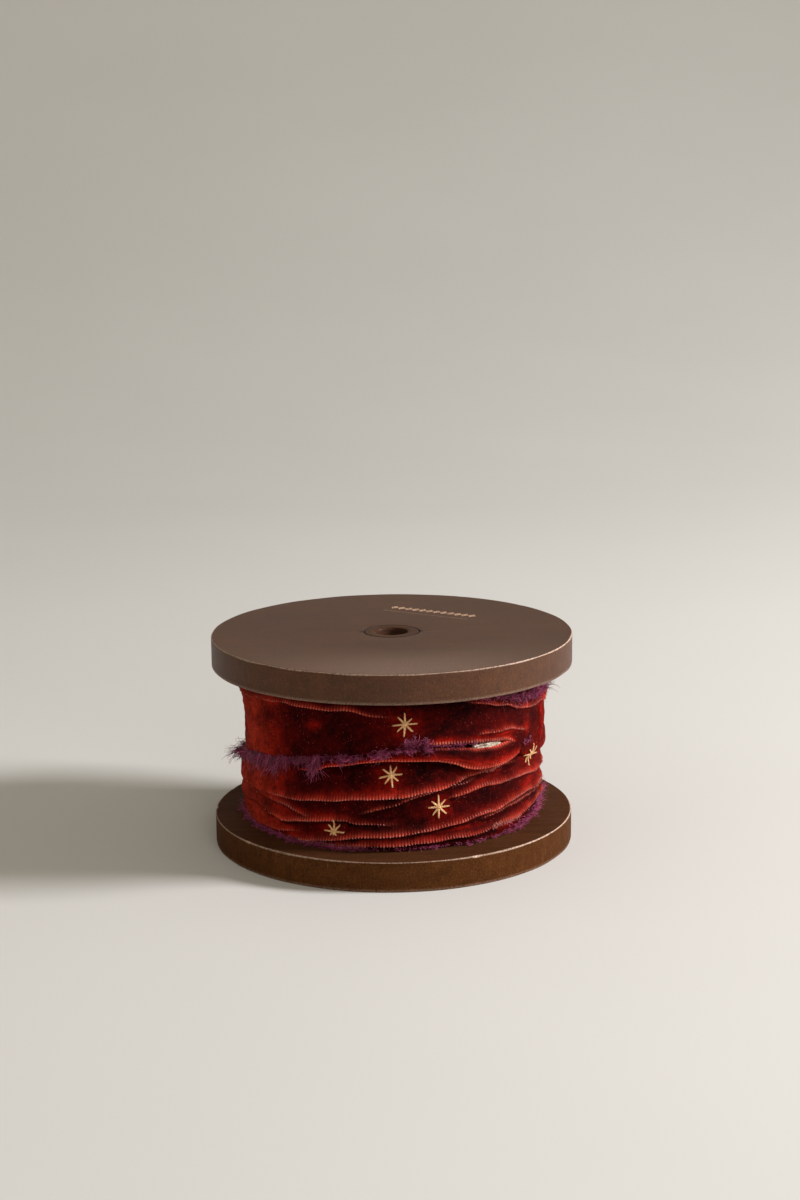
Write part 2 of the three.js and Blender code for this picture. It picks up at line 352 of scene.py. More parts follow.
def wood_material(name, dark, light, roughness, gloss):
    """Stained close-grained wood: fine streaks along X, dark pores and scratches. Its wear mark makes
    it light: worn and chipped edges, a painted highlight on the rim at the right and a painted
    reflection on the front of the top. Its grime mark makes it dark: the joints' dark lines and
    painted shade in the hub's bore. Where "side" is 1 a painted warm bounce light from the ribbon
    tints it."""
    n = Nodes(name)
    where = n.position()
    streaks = n.noise(n.stretched(where, (60, 700, 300)), 1.0, 5, 0.6)
    clouds = n.noise(where, 45, 3)
    pores = n.noise(n.stretched(where, (3200, 3200, 1300)), 1.0, 2, 0.7)
    pores = n.steps(pores, 0.34, 0.44)
    speck = n.noise(n.stretched(where, (2600, 2600, 2200)), 1.0, 3, 0.75)
    grain = n.noise(n.stretched(where, (1500, 800, 1500)), 1.0, 3, 0.8)
    tone = n.plus(n.times(streaks, 0.50), n.times(clouds, 0.22))
    tone = n.plus(tone, n.times(grain, 0.28))
    colour = n.mix(n.steps(tone, 0.34, 0.66), dark, light)
    colour = n.mix(n.steps(pores, 0, 1, 0.4, 0.0), colour, WOOD_PORE)
    specks = n.times(n.steps(speck, 0.50, 0.68), 0.20)
    colour = n.mix(specks, colour, WOOD_SPECK)
    scratches = n.noise(n.stretched(where, (1500, 1500, 90)), 1.0, 3, 0.7)
    scratches = n.times(n.steps(scratches, 0.66, 0.72), 0.18)
    colour = n.mix(scratches, colour, WOOD_SCRATCH)
    # painted warm bounce light on the sides
    colour = n.mix(n.attribute("side"), colour, WOOD_SIDE_BOUNCE, "MULTIPLY")
    # dark joints, and painted shade in the bore
    colour = n.mix(n.attribute("grime_and_shade"), colour, WOOD_GRIME_AND_SHADE)
    # worn edges, a painted rim highlight and a painted reflection on the top
    wear_and_highlight = n.times(n.attribute("wear_and_highlight"), n.steps(speck, 0.36, 0.52))
    colour = n.mix(wear_and_highlight, colour, WOOD_WORN_AND_HIGHLIGHT)
    relief = n.plus(n.times(pores, 0.8), n.times(speck, 0.5))
    return n.surface(
        Base_Color=colour,
        Roughness=roughness,
        Specular_IOR_Level=gloss,
        Normal=n.bump(relief, 0.00008, 0.6),
    )


def foil_material():
    n = Nodes("gold_foil")
    rub = n.noise(n.position(), 1800, 3, 0.7)
    colour = n.mix(n.steps(rub, 0.36, 0.58), (0.30, 0.13, 0.065), (1.0, 0.66, 0.44))
    relief = n.bump(rub, 0.00003, 0.6)
    return n.surface(Base_Color=colour, Metallic=0.45, Roughness=0.40, Normal=relief)


def plain_material(name, dark, light, scale, roughness):
    n = Nodes(name)
    grain = n.noise(n.position(), scale, 3)
    colour = n.mix(n.steps(grain, 0.35, 0.65), dark, light)
    return n.surface(Base_Color=colour, Roughness=roughness, Normal=n.bump(grain, 0.00005, 0.5))


VELVET = velvet_material()
# Each has a dark and a light colour, then how rough it is, then how metallic or glossy.
FRAY = thread_material("purple_fray", (0.085, 0.0025, 0.020), (1.0, 0.170, 0.400), 0.34)
GOLD = thread_material("gold_thread", (0.66, 0.25, 0.055), (1.0, 0.77, 0.42), 0.28, 0.10)
BACKING = thread_material("white_backing", (0.40, 0.30, 0.20), (0.85, 0.76, 0.62), 0.7)
# tufts of pile, from dark red to a painted pink highlight
PILE_AND_HIGHLIGHT = thread_material("pile_tufts_and_highlight", (0.26, 0.009, 0.004), (1.0, 0.430, 0.350), 0.38)
TOP_WOOD = wood_material(
    "waxed_wood", (0.044, 0.0135, 0.0046), (0.094, 0.031, 0.0110), 0.46, 0.30)
LOWER_WOOD = wood_material(
    "stained_wood", (0.046, 0.0150, 0.0056), (0.096, 0.0335, 0.0120), 0.62, 0.03)
HUB_WOOD = wood_material(
    "hub_end_grain", (0.040, 0.0135, 0.0055), (0.080, 0.028, 0.012), 0.5, 0.12)
FOIL = foil_material()
TAPE = plain_material("adhesive_tape", (0.50, 0.46, 0.36), (0.68, 0.64, 0.52), 300, 0.3)


# ---------------------------------------------------------------- wood
def add_flange(name, node, low, wood, front_reflection):
    """A turned disc that starts at the height low. Its edges are broken unevenly, with worn and
    chipped spots and a painted highlight on the top rim at the right, and its hole has a small split
    at each side. Its last argument is how strong a painted reflection is on the front of its top."""
    columns = 360
    angle = np.arange(columns) * 360 / columns
    chips = smoothstep(waves(9, 60, 0, 21 + int(low))(angle, 0), 1.0, 1.8)
    round_top = 0.38 + 0.10 * waves(6, 24, 0, 3 + int(low))(angle, 0) + 0.30 * chips
    round_low = 0.35 + 0.08 * waves(6, 24, 0, 5 + int(low))(angle, 0)
    high = low + FLANGE_T
    split = np.zeros(columns)
    for side in (90, 270):
        split += 1.5 * np.clip(1 - np.abs(angle - side) / 5, 0, 1) ** 2
    hole = HOLE_R - 0.02 + split + 0.04 * waves(6, 9, 0, 8 + int(low))(angle, 0)
    # rows of (radius, height, wear, grime)
    profile = [(hole, low + 0.2, 0, 1), (hole + 0.2, low, 0, 0)]
    profile += [(FLANGE_R * 0.5, low, 0, 0), (FLANGE_R - 1, low, 0, 0)]
    arc = np.radians([0, 22.5, 45, 67.5, 90])
    for a in arc:
        r, z = FLANGE_R - round_low * (1 - np.sin(a)), low + round_low * (1 - np.cos(a))
        profile.append((r, z, 0.15, 0))
    for share in (0.12, 0.4, 0.65, 0.88):
        profile.append((FLANGE_R, low + FLANGE_T * share, 0, 0))
    for a in arc:
        # worn and chipped rim, with a painted highlight added on the right, round 60°
        wear_and_highlight = (0.45 + chips + 0.5 * np.exp(-((angle - 60) / 30) ** 2)) * np.sin(2 * a)
        r, z = FLANGE_R - round_top * (1 - np.cos(a)), high - round_top * (1 - np.sin(a))
        profile.append((r, z, wear_and_highlight, 0))
    # a painted reflection on the front of the top, speckled
    from_reflection = ((angle + 180) % 360) - 185
    for share in (0.985, 0.88, 0.75, 0.6, 0.45, 0.3):
        painted_reflection = front_reflection * smoothstep(share, 0.35, 0.9) * np.exp(-(from_reflection / 42) ** 2)
        profile.append((FLANGE_R * share, high, painted_reflection, 0))
    profile += [(hole + 0.3, high, 0, 0), (hole + 0.12, high - 0.02, 0, 0.8)]
    profile += [(hole, high - 0.15, 0, 1), (hole, (low + high) / 2, 0, 1)]
    table = [[np.broadcast_to(value, (columns,)) for value in row] for row in profile]
    r, z, wear_and_highlight, grime_and_shade = [np.stack(values, 1) for values in zip(*table)]
    points = on_drum(angle[:, None], r, z).reshape(-1, 3)
    faces = grid_faces(columns, len(profile), True, True)
    side = (r > FLANGE_R - 0.3) & (z < high - 0.1)
    obj = add_piece(name, points, faces, wood, {"wear_and_highlight": wear_and_highlight, "grime_and_shade": grime_and_shade, "side": side})
    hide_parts(node)
    return finish_piece(obj, "spool")


def finish_piece(obj, body):
    if body is not None:
        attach(obj, body)
    return obj


def add_hub():
    """The turned hub: its tenons' end grain shows round the bore, flush with the flanges."""
    columns = 144
    angle = np.arange(columns) * 360 / columns
    high = SPOOL_H - FLANGE_T - FIT
    tenon = TENON_R + 0.14
    # grime in the bore's rows is painted shade; round the tenon it is the joint's dark line
    half = [  # rows of (radius, height, grime), from the bore's end down to the shoulder
        (BORE_R, SPOOL_H - 0.6, 0.2), (BORE_R + 0.1, SPOOL_H - 0.12, 0.3),
        (BORE_R + 0.3, SPOOL_H - 0.02, 0), (tenon - 0.25, SPOOL_H - 0.02, 0),
        (tenon - 0.08, SPOOL_H - 0.05, 0.8), (tenon, SPOOL_H - 0.2, 1),
        (TENON_R, high + 1, 1), (TENON_R, high, 0),
        (HUB_R - 0.3, high, 0), (HUB_R, high - 0.3, 0),
    ]
    mirrored = [(r, SPOOL_H - z, grime_and_shade) for r, z, grime_and_shade in reversed(half)]
    profile = half + mirrored + [(BORE_R, SPOOL_H / 2, 0.2)]
    r, z, grime_and_shade = [np.array([row[k] for row in profile])[None] for k in range(3)]
    rough = 0.05 * waves(10, 40, 0.5, 11)(angle[:, None], z)
    points = on_drum(angle[:, None], r + rough * (r > BORE_R), z).reshape(-1, 3)
    faces = grid_faces(columns, len(profile), True, True)[:, ::-1]
    grime_and_shade = np.repeat(grime_and_shade, columns, 0)
    marks = {"wear_and_highlight": 0 * grime_and_shade, "grime_and_shade": grime_and_shade, "side": 0 * grime_and_shade}
    obj = add_piece("turned_hub", points, faces, HUB_WOOD, marks)
    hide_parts("hub")
    return finish_piece(obj, "spool")


# ---------------------------------------------------------------- the winding's lines
# Lower edge of the upper turn, once round: (angle, height).
UPPER_EDGE = through([
    (-180, 31), (-150, 29.4), (-120, 27.4), (-86, 26.4), (-73, 27.8), (-61, 29.5), (-49, 30.7),
    (-39, 32.1), (-29, 33.3), (-16, 34.2), (-7, 35.4), (3, 36.6), (12, 36.8), (27, 36.3),
    (40, 35.4), (48, 34.2), (56, 29.6), (66, 27.6), (86, 27.2), (130, 29.6), (180, 31),
])

# Folds: (angle, height of the crest, how far it stands out). up and down are the heights over
# which a fold rises and drops, and hook is how far its crest hangs over.
LOWER_FOLDS = [
    dict(up=3.2, down=0.8, hook=1.2, rows=[
        (-180, 20.4, 1.0), (-140, 21.4, 0.9), (-110, 19.8, 0.6), (-86, 19.3, 0.35),
        (-67, 19.9, 0.7), (-49, 20.1, 1.1), (-32, 21.1, 1.4), (-14, 22.6, 1.5), (5, 23.7, 1.5),
        (14, 24.6, 1.3), (22, 25.8, 1.0), (30, 26.7, 0.8), (40, 27.0, 0.6), (48, 27.6, 0.4),
        (56, 28.0, 0),
    ]),
    dict(up=1.2, down=0.5, hook=0.5, rows=[
        (-14, 18.6, 0), (-8, 19.4, 0.4), (0, 21.0, 0.5), (4, 22.0, 0.5), (10, 23.2, 0.5),
        (15, 24.0, 0.5), (21, 25.0, 0.4), (27, 25.7, 0.3), (34, 26.5, 0),
    ]),
    dict(up=2.6, down=0.8, hook=1.1, rows=[
        (20, 22.0, 0), (24, 22.3, 0.7), (30, 23.2, 1.0), (37, 23.8, 1.1), (45, 23.7, 1.0),
        (56, 23.5, 1.0), (66, 23.0, 0.9), (79, 22.2, 0.8), (110, 21.0, 0.9), (150, 20.0, 1.0),
        (180, 20.4, 1.0),
    ]),
    dict(up=1.4, down=0.6, hook=0.6, rows=[
        (-80, 17.4, 0), (-66, 18.2, 0.5), (-52, 18.6, 0.6), (-43, 17.8, 0.6), (-37, 17.0, 0.4),
        (-29, 16.8, 0),
    ]),
    dict(up=2.4, down=0.7, hook=0.9, rows=[
        (-180, 15.0, 0.8), (-120, 15.4, 0.6), (-86, 14.8, 0.3), (-68, 15.5, 0.5), (-57, 15.3, 0.7),
        (-50, 14.1, 0.8), (-44.5, 13.7, 0.8), (-32, 15.1, 0.9), (-23, 16.2, 0.9), (-18, 16.6, 0.9),
        (-14, 15.8, 0.7), (-6, 15.8, 0.3), (4, 16.0, 0),
    ]),
    dict(up=2.6, down=0.7, hook=1.0, rows=[
        (-56, 7.6, 0), (-44, 8.8, 0.5), (-35, 9.4, 0.7), (-30, 10.1, 0.9), (-23, 10.8, 1.0),
        (-16, 11.7, 1.1), (-10, 12.3, 1.1), (0, 12.8, 1.1), (14, 13.8, 1.0), (22, 14.6, 1.0),
        (32, 15.8, 1.0), (40, 16.4, 0.9), (49, 17.4, 0.9), (56, 18.0, 0.8), (66, 18.3, 0.8),
        (79, 17.8, 0.8), (110, 16.2, 0.8), (150, 15.2, 0.8), (180, 15.0, 0.8),
    ]),
    dict(up=1.2, down=0.5, hook=0.5, rows=[
        (32, 14.6, 0), (40, 15.5, 0.5), (46, 16.0, 0.5), (52, 16.5, 0.5), (61, 16.9, 0.5),
        (70, 17.0, 0.5), (86, 16.4, 0.5), (110, 14.0, 0.4), (126, 13.0, 0),
    ]),
    dict(up=2.0, down=0.6, hook=0.8, rows=[
        (-42, 8.6, 0), (-27, 8.9, 0.5), (-18, 9.4, 0.7), (-8, 9.8, 0.9), (0, 10.0, 1.0),
        (14, 10.4, 1.0), (22, 10.8, 1.0), (32, 11.0, 1.0), (37, 11.5, 1.0), (43, 12.1, 1.0),
        (52, 12.4, 1.0), (58, 13.1, 1.0), (65, 14.0, 0.9), (72, 14.6, 0.8), (90, 13.4, 0.8),
        (120, 11.8, 0.9), (150, 11.0, 0.9), (180, 10.8, 0.8),
    ]),
    dict(up=1.8, down=0.6, hook=0.8, rows=[
        (-180, 10.8, 0.8), (-130, 11.4, 0.8), (-86, 9.8, 0.45), (-68, 9.8, 0.5), (-55, 10.1, 0.6),
        (-44, 10.9, 0.4), (-34, 11.6, 0),
    ]),
]
UPPER_FOLDS = [
    dict(up=1.8, down=0.7, hook=0.7, rows=[
        (-180, 45.4, 0.6), (-120, 44.2, 0.7), (-86, 44.2, 0.8), (-74, 44.8, 0.9), (-55, 46.3, 0.9),
        (-42, 46.8, 0.9), (-31, 46.7, 0.9), (-22, 46.7, 0.9), (-15, 46.6, 0.7), (-8, 45.7, 0.4),
        (2, 45.2, 0),
    ]),
    dict(up=1.6, down=0.7, hook=0.8, rows=[
        (22, 48.6, 0), (31, 47.8, 0.7), (36, 46.8, 0.9), (40, 45.6, 0.9), (46, 45.0, 0.9),
        (52, 43.4, 0.9), (59, 42.3, 0.9), (66, 42.0, 0.9), (73, 42.3, 0.8), (84, 42.4, 0.7),
        (110, 43.5, 0.8), (150, 45.0, 0.7), (180, 45.4, 0.6),
    ]),
    dict(up=2.2, down=1.2, hook=0.4, rows=[
        (30, 38.6, 0), (38, 38.8, 0.5), (46, 38.4, 0.6), (54, 37.0, 0.4), (62, 36, 0),
    ]),
]
# The tail: (angle, lower edge, upper edge).
TAIL = [
    (-36, 28.6, 30.6), (-29, 28.9, 31.4), (-25, 30.2, 32.8), (-20, 30.8, 33.6), (-16, 31.3, 34.2),
    (-9, 32.2, 35.2), (-3, 32.6, 36.2), (5, 32.4, 36.5), (14, 32.1, 36.5), (18, 31.7, 36.3),
    (23, 30.6, 36.0), (27, 29.0, 35.7), (31, 28.0, 35.2), (37, 27.6, 34.8), (42, 27.7, 34.7),
    (47, 28.1, 35.2), (51, 28.9, 35.4), (54, 29.6, 34.9),
]


# Patches of painted sheen on the pile: (angle, height, reach in angle, reach in height,
# how strong the sheen is).
PAINTED_SHEEN_PATCHES = [
    (-46, 11.0, 10, 1.6, 0.75), (-60, 17.0, 8, 1.8, 0.50), (-40, 17.2, 9, 0.9, 0.45),
    (-29.8, 42.2, 3, 1.4, 0.40), (-12, 12.8, 9, 0.8, 0.40), (47, 11.8, 9, 0.9, 0.60),
    (43, 27.4, 6, 1.2, 0.60), (43, 37.4, 6, 0.8, 0.60), (60, 37.0, 3, 2.0, 0.45),
    (66, 20.5, 9, 1.2, 0.50), (30, 13.2, 9, 0.8, 0.35), (78, 33.0, 6, 3.0, 0.40),
]
# Stretches of crest with extra tufts of pile, painted as glints: (angles, heights, how many tufts).
GLINTS = [((-34, -12), (8.6, 9.9), 260), ((40, 55), (11.4, 12.9), 170), ((38, 47), (26.6, 27.6), 60)]
CREASE_SWAY = 0.16  # how far a crest wanders up and down


def fold_field(folds):
    """Sums folds into one function of (angle, s), where s is the height before anything hangs
    over. It gives the step outwards, the step down, a painted highlight on the crest, from 0 to 1,
    and painted light from -1, painted shade under the crest, to 1, painted sheen over it."""
    tracks = [(f, through(f["rows"], 1), through(f["rows"], 2)) for f in folds]

    def value(angle, s):
        step_out, step_down, crest, painted_light, painted_shade = 0.0, 0.0, 0.0, 0.0, 0.0
        for f, height, out in tracks:
            first, last = f["rows"][0][0], f["rows"][-1][0]
            size = np.where((angle >= first) & (angle <= last), out(angle), 0)
            size = size * fold_swell(angle, f["up"])
            v = s - height(angle) - f["hook"] * np.minimum(size, 1)
            v = v - CREASE_SWAY * crease_noise(angle, 3 * f["up"])
            rise = 0.5 * np.exp(-np.abs(v) / f["up"]) + 0.5 * np.exp(-(v / 0.8) ** 2)
            drop = np.exp(-(v / f["down"]) ** 2)
            step_out = step_out + size * np.where(v > 0, rise, drop)
            width = 0.75 * f["hook"]
            step_down = step_down + f["hook"] * np.minimum(size, 1) * np.exp(-(v / width) ** 2)
            share = np.clip(size * 1.1, 0, 1)
            sheen_spread = broad_sheen_side(angle)
            below = np.exp(-(v / 0.15) ** 2)
            # a painted highlight right on the crest
            near = np.where(v > 0, np.exp(-v / 0.24), below) * (1 - 0.85 * sheen_spread)
            # painted sheen over the crest, broader on the left
            reach = (0.20 + 0.25 * sheen_spread) * f["up"] * fold_swell(angle, 2 * f["up"]) ** 2
            soft = 0.8 * np.exp(-np.abs(v) / reach) + 0.2 * np.exp(-np.abs(v) / (2.5 * reach))
            lean_and_sheen = np.where(v > 0, soft, below)
            # painted shade under the crest
            under = np.where(v < 0, np.exp(-((v + 0.5) / 0.9) ** 2), 0)
            crest = np.maximum(crest, near * share)
            painted_light = np.maximum(painted_light, lean_and_sheen * share)
            painted_shade = np.maximum(painted_shade, under * share)
        return step_out, step_down, crest, painted_light - painted_shade * (1 - painted_light)

    return value


lower_folds = fold_field(LOWER_FOLDS)
upper_folds = fold_field(UPPER_FOLDS)
long_wrinkles = waves(14, 9, 0.16, 31)
short_wrinkles = waves(22, 40, 0.45, 32)
crease_noise = waves(16, 30, 0.3, 33)
swell_noise = waves(12, 22, 0.4, 34)
nap_noise = waves(14, 18, 0.12, 35)
tail_low, tail_high = through(TAIL, 1), through(TAIL, 2)


def fold_swell(angle, up):
    return 1 + 0.22 * swell_noise(angle, 4 * up)


def place_of(node):
    """A node's middle, as an angle and a height."""
    low, high = box_mm(node)
    x, y, z = (low + high) / 2
    return math.degrees(math.atan2(x, -y)), z


STAR_NODES = [f"star_{number:02d}" for number in range(1, 15)]
# Painted sheen on the pile round each star, where the embroidery pulls it.
STAR_SHEEN_PATCHES = [(*place_of(node), 5.5, 4.0, 0.34) for node in STAR_NODES]


def broad_sheen_side(angle):
    """1 on the left, where the folds run out and the painted sheen is broad and browner, else 0."""
    return smoothstep(angle, -34, -64) * smoothstep(angle, -128, -104)


def nap_sheen(angle, s):
    """Painted sheen on the pile away from the folds: on the left, at the right, in patches and round
    the stars.
    """
    mottled = nap_noise(angle, s)
    lean_and_sheen = broad_sheen_side(angle) * (0.95 + 0.45 * mottled)
    lean_and_sheen = lean_and_sheen + smoothstep(angle, 62, 84) * smoothstep(angle, 125, 100) * (0.34 + 0.25 * mottled)
    lean_and_sheen = lean_and_sheen + 0.25 * smoothstep(np.abs(angle), 95, 125) * np.clip(0.5 + 0.7 * mottled, 0, 1)
    broken = 1 + 0.3 * short_wrinkles(angle, 3 * s)
    for angle0, s0, wide, high, strength in PAINTED_SHEEN_PATCHES + STAR_SHEEN_PATCHES:
        away = ((angle - angle0) / wide) ** 2 + ((s - s0) / high) ** 2
        lean_and_sheen = np.maximum(lean_and_sheen, strength * np.exp(-away) * broken)
    return lean_and_sheen


def pile_rows(angle):
    return np.cos(np.radians(angle) * ROWS_ROUND)


def cloth_relief(angle, s, crest):
    """Small shape on every turn: slack wrinkles, crushed pile, and its rows opening on crests."""
    slack = 0.15 * long_wrinkles(angle, s) + 0.08 * short_wrinkles(angle, s)
    return slack + (0.004 + 0.06 * crest) * pile_rows(angle)


def lower_face(angle, s):
    out, down, crest, painted_light = lower_folds(angle, s)
    r = FACE_R + out
    past_end = smoothstep(angle, TAIL_END - 2, TAIL_END + 6)
    in_groove = smoothstep(angle, TAIL_START - 8, TAIL_START) * (1 - past_end)
    cut = GROOVE_R + 1.3 * np.clip(tail_low(angle) - 0.4 - s, 0, 3)
    r = r + in_groove * (np.minimum(r, cut) - r)
    tuck = smoothstep(s, UPPER_EDGE(angle) - 1, UPPER_EDGE(angle) + 3)
    r = r - tuck * np.clip(r - TUCKED_R, 0, 9)
    foot = smoothstep(s, GAP_LOW + 1.5, GAP_LOW)
    full_side = np.exp(-((angle - FULL_SIDE) / FULL_WIDE) ** 2) * smoothstep(s, 7, 14)
    r = r - 0.8 * foot + 1.1 * full_side * (1 - tuck)
    # painted sheen away from the folds, kept clear of the painted shade under them
    painted_light = np.maximum(painted_light, nap_sheen(angle, s) + np.minimum(painted_light, 0))
    return r + cloth_relief(angle, s, crest) * (1 - tuck), s - down, crest, painted_light


def upper_face(angle, s):
    out, down, crest, painted_light = upper_folds(angle, s)
    edge = UPPER_EDGE(angle)
    hem = s - edge
    hem_roll = np.sqrt(np.clip(1 - (np.clip(1.1 - hem, 0, 1.1) / 1.1) ** 2, 0, 1))
    belly = 0.5 * np.exp(-((hem - 2.5) / 2.5) ** 2)
    dip = 0.7 * smoothstep(s, GAP_HIGH - 3, GAP_HIGH)
    bump = 0.45 * np.exp(-((angle + 29) / 3.2) ** 2 - ((s - 42.3) / 2.2) ** 2)
    line = 73.2 - 0.06 * (s - 36.5) ** 2 + 0.2 * (s - 36.5)
    upright = smoothstep(s, edge + 2, edge + 6) * np.exp(-((angle - line) / 1.5) ** 2)
    r = UPPER_R + out + belly - dip + bump + 0.7 * upright - 1.1 * (1 - hem_roll)
    r = r + np.exp(-((angle - FULL_SIDE) / FULL_WIDE) ** 2) * (0.10 * (s - 40) - 0.5)
    # painted sheen on the upright fold
    painted_light = np.maximum(painted_light, 0.6 * upright)
    # a painted highlight and sheen on the hem over the tail
    on_hem = smoothstep(angle, 10, 18) * (1 - smoothstep(angle, 46, 54))
    crest = np.maximum(crest, on_hem * np.exp(-((hem - 0.9) / 0.35) ** 2))
    painted_light = np.maximum(painted_light, 0.6 * on_hem * np.exp(-((hem - 1.2) / 1.1) ** 2))
    # painted sheen away from the folds, kept clear of the painted shade under them
    painted_light = np.maximum(painted_light, nap_sheen(angle, s) + np.minimum(painted_light, 0))
    return r + cloth_relief(angle, s, crest), s - down, crest, painted_light


def even_rows(parts, rows):
    """Resamples profiles, one for each column, so that their rows are evenly far apart."""
    r, z = parts[0], parts[1]
    length = np.hypot(np.diff(r, axis=1), np.diff(z, axis=1))
    run = np.concatenate([np.zeros((len(r), 1)), np.cumsum(length, axis=1)], axis=1)
    share = np.linspace(0, 1, rows)
    made = [np.empty((len(r), rows)) for _ in parts]
    for i in range(len(r)):
        for part, new in zip(parts, made):
            new[i] = np.interp(share * run[i, -1], run[i], part[i])
    return made


def add_turn(name, node, face, low, high, back, rows):
    """A turn of ribbon: its outer face from low to high, which are functions of angle, then the
    hidden rows of back, which are functions of angle giving (r, z)."""
    angle = (np.arange(COLUMNS) / COLUMNS * 360 - 180)[:, None]
    bottom, top = low(angle), high(angle)
    s = bottom + (top - bottom) * np.linspace(0, 1, FACE_SAMPLES)[None]
    r, z, crest, painted_light = face(np.broadcast_to(angle, s.shape), s)
    r, z, crest, painted_light, s = even_rows([r, z, crest, painted_light, s], rows)
    hidden = [[np.broadcast_to(x, angle.shape) for x in f(angle)] for f in back]
    hidden_r, hidden_z = zip(*hidden)
    r = np.concatenate([r, *hidden_r], axis=1)
    z = np.concatenate([z, *hidden_z], axis=1)
    extra = np.zeros((COLUMNS, len(back)))
    # the painted highlight, the painted light and shade, and the browner painted sheen on the left
    pile = {
        "crest": np.concatenate([crest, extra], axis=1),
        "painted_light": np.concatenate([painted_light, extra], axis=1),
        "left_sheen": np.broadcast_to(broad_sheen_side(angle), r.shape),
    }
    s = np.concatenate([s, extra + 40], axis=1)
    points = on_drum(angle, r, z).reshape(-1, 3)
    u = np.broadcast_to((angle + 180) / 360 * ROWS_ROUND, r.shape)
    uv = np.stack([u, s], -1).reshape(-1, 2)
    faces = grid_faces(COLUMNS, r.shape[1], True, True)
    obj = add_piece(name, points, faces, VELVET, pile, uv)
    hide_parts(node)
    return finish_piece(obj, "spool")


def add_lower_turn():
    back = [
        lambda a: (TURN_R, UPPER_EDGE(a) + 3.6),
        lambda a: (TURN_R, UPPER_EDGE(a) - 6),
        lambda a: (TURN_R, GAP_LOW + 8),
        lambda a: (TURN_R, GAP_LOW + FIT),
    ]
    low = lambda a: GAP_LOW + 0 * a
    high = lambda a: UPPER_EDGE(a) + 4
    names = "ribbon_lower_folds", "ribbon_lower_turn"
    return add_turn(*names, lower_face, low, high, back, LOWER_ROWS)


def add_upper_turn():
    """Its hidden half goes over the top and hangs down behind the face."""
    thick = 0.8
    back = [
        lambda a: (UPPER_R - 1.5, GAP_HIGH + 0.1),
        lambda a: (TURN_R + 0.6, GAP_HIGH),
        lambda a: (TURN_R, GAP_HIGH - 0.8),
        lambda a: (TURN_R, UPPER_EDGE(a) + 9),
        lambda a: (TURN_R, UPPER_EDGE(a) + 4.4),
        lambda a: (TURN_R + thick, UPPER_EDGE(a) + 4.4),
        lambda a: (TURN_R + thick, UPPER_EDGE(a) + 9),
        lambda a: (TURN_R + thick, GAP_HIGH - 1.6),
        lambda a: (UPPER_R - 1.3, GAP_HIGH - 1.6),
        lambda a: (UPPER_R - 1.2, UPPER_EDGE(a) + 6),
        lambda a: (UPPER_R - 1.4, UPPER_EDGE(a) + 0.5),
    ]
    low = lambda a: UPPER_EDGE(a) + 0 * a
    high = lambda a: GAP_HIGH + 0 * a
    names = "ribbon_upper_face", "ribbon_upper_turn"
    return add_turn(*names, upper_face, low, high, back, UPPER_ROWS)


add_flange("flange_bottom", "lower_flange", 0.0, LOWER_WOOD, 0.0)
add_flange("flange_top", "upper_flange", SPOOL_H - FLANGE_T, TOP_WOOD, 0.17)
add_hub()
lower_turn = add_lower_turn()
upper_turn = add_upper_turn()


